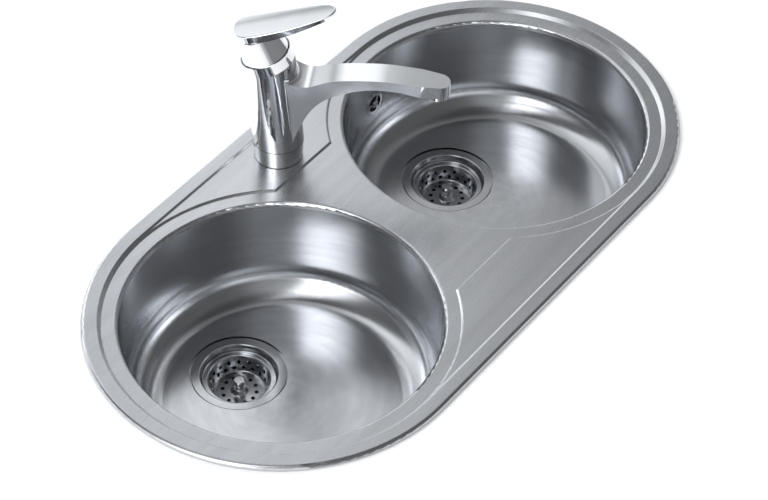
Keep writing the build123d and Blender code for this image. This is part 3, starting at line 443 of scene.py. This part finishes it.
def worktop():
    """Pale slab with an oval cut-out under the rim."""
    mesh = bmesh.new()
    rings = []
    for level in (0.0, -worktop_thickness):
        inner = cutout_ring(mesh, level)
        rings.append((inner, edge_ring(mesh, inner, level)))
    (top_in, top_out), (low_in, low_out) = rings
    count = len(top_in)
    for index in range(count):
        after = (index + 1) % count
        for a, b in ((top_in, top_out), (top_out, low_out), (low_out, low_in), (low_in, top_in)):
            mesh.faces.new((a[index], b[index], b[after], a[after]))
    bmesh.ops.remove_doubles(mesh, verts=mesh.verts, dist=weld_distance)
    bmesh.ops.recalc_face_normals(mesh, faces=mesh.faces)
    white = Shader("worktop_white", (0.86, 0.86, 0.86), roughness=0.55)
    fleck = white.noise(white.place(), detail=3.0, roughness=0.5, scale=300.0)
    white.vary_roughness(fleck, low=0.5, high=0.6)
    slab = mesh_object("worktop", mesh, white.material)


worktop()

# ---- Camera at the photograph's viewing angle -----------------------------------------------
back = Vector(
    (
        sin(camera_turn) * cos(camera_rise),
        -cos(camera_turn) * cos(camera_rise),
        sin(camera_rise),
    )
)
level_right = (-back).cross(Vector((0, 0, 1))).normalized()
level_up = level_right.cross(-back)
right = level_right * cos(camera_roll) + level_up * sin(camera_roll)
up = level_up * cos(camera_roll) - level_right * sin(camera_roll)
camera_data = bpy.data.cameras.new("camera")
camera_data.lens = lens_mm
camera_data.sensor_width = sensor_mm
camera_data.clip_end = view_depth
camera = scene_object("camera", camera_data)
camera.matrix_world = Matrix(
    (
        (right.x, up.x, back.x, 0),
        (right.y, up.y, back.y, 0),
        (right.z, up.z, back.z, 0),
        (0, 0, 0, 1),
    )
)
camera.location = camera_target + back * camera_distance
bpy.context.scene.camera = camera


# ---- Light ----------------------------------------------------------------------------------
def soft_box(name, position, width, height, power):
    """Large soft lamp that faces the origin and is left out of the reflections."""
    lamp = bpy.data.lights.new(name, "AREA")
    lamp.shape = "RECTANGLE"
    lamp.size = width
    lamp.size_y = height
    lamp.energy = power
    thing = scene_object(name, lamp)
    thing.location = position
    thing.rotation_euler = (-Vector(position)).to_track_quat("-Z", "Y").to_euler()
    thing.visible_glossy = False


def studio_dome():
    """Dark studio with a few broad fields of light, seen only in reflections."""
    mesh = bmesh.new()
    bmesh.ops.create_uvsphere(mesh, u_segments=96, v_segments=48, radius=dome_radius)
    bmesh.ops.reverse_faces(mesh, faces=mesh.faces)
    paint = Shader("studio_dome", (0, 0, 0), roughness=1.0)
    to_camera, to_right, upward = paint.axes(paint.place())
    angle = paint.maths("ARCTAN2", to_right, to_camera)
    stops = [((180 + degrees) / 360, light / dome_strength) for degrees, light in light_around]
    around = paint.grey_ramp(paint.ranged(angle, 0, 1, start=-pi, end=pi), stops)
    above = paint.grey_ramp(paint.ranged(upward, 0, 1, end=dome_radius), light_upward)
    fields = paint.vector_maths("MULTIPLY", around, above)
    tinted = paint.vector_maths("MULTIPLY", fields, dome_tint)
    paint.feed(tinted, paint.surface.inputs["Emission Color"])
    paint.surface.inputs["Emission Strength"].default_value = dome_strength
    paint.surface.inputs["Specular IOR Level"].default_value = 0.0
    dome = mesh_object("studio_dome", mesh, paint.material)
    dome.rotation_euler.z = camera_turn - pi / 2  # its +X points to the camera's side
    dome.visible_camera = False
    dome.visible_diffuse = False
    dome.visible_shadow = False
    dome.visible_transmission = False


def studio_world():
    """White to camera, glossy and transmission rays, and a dimmer light to all others."""
    world = bpy.data.worlds.new("studio")
    bpy.context.scene.world = world
    world.use_nodes = True
    nodes = world.node_tree.nodes
    links = world.node_tree.links
    nodes.clear()
    rays = nodes.new("ShaderNodeLightPath").outputs
    seen = rays["Is Camera Ray"]
    for kind in ("Is Glossy Ray", "Is Transmission Ray"):
        either = nodes.new("ShaderNodeMath")
        either.operation = "ADD"
        either.use_clamp = True
        links.new(seen, either.inputs[0])
        links.new(rays[kind], either.inputs[1])
        seen = either.outputs["Value"]
    blend = nodes.new("ShaderNodeMixShader")
    links.new(seen, blend.inputs["Fac"])
    white = (1, 1, 1, 1)
    for slot, colour, strength in ((1, world_colour, world_strength), (2, white, 1.0)):
        background = nodes.new("ShaderNodeBackground")
        background.inputs["Color"].default_value = colour
        background.inputs["Strength"].default_value = strength
        links.new(background.outputs["Background"], blend.inputs[slot])
    output = nodes.new("ShaderNodeOutputWorld")
    links.new(blend.outputs["Shader"], output.inputs["Surface"])


for name, (position, width, height, power) in lamps.items():
    soft_box(name, position, width, height, power)
studio_dome()
studio_world()
bpy.context.scene.view_settings.view_transform = "Standard"
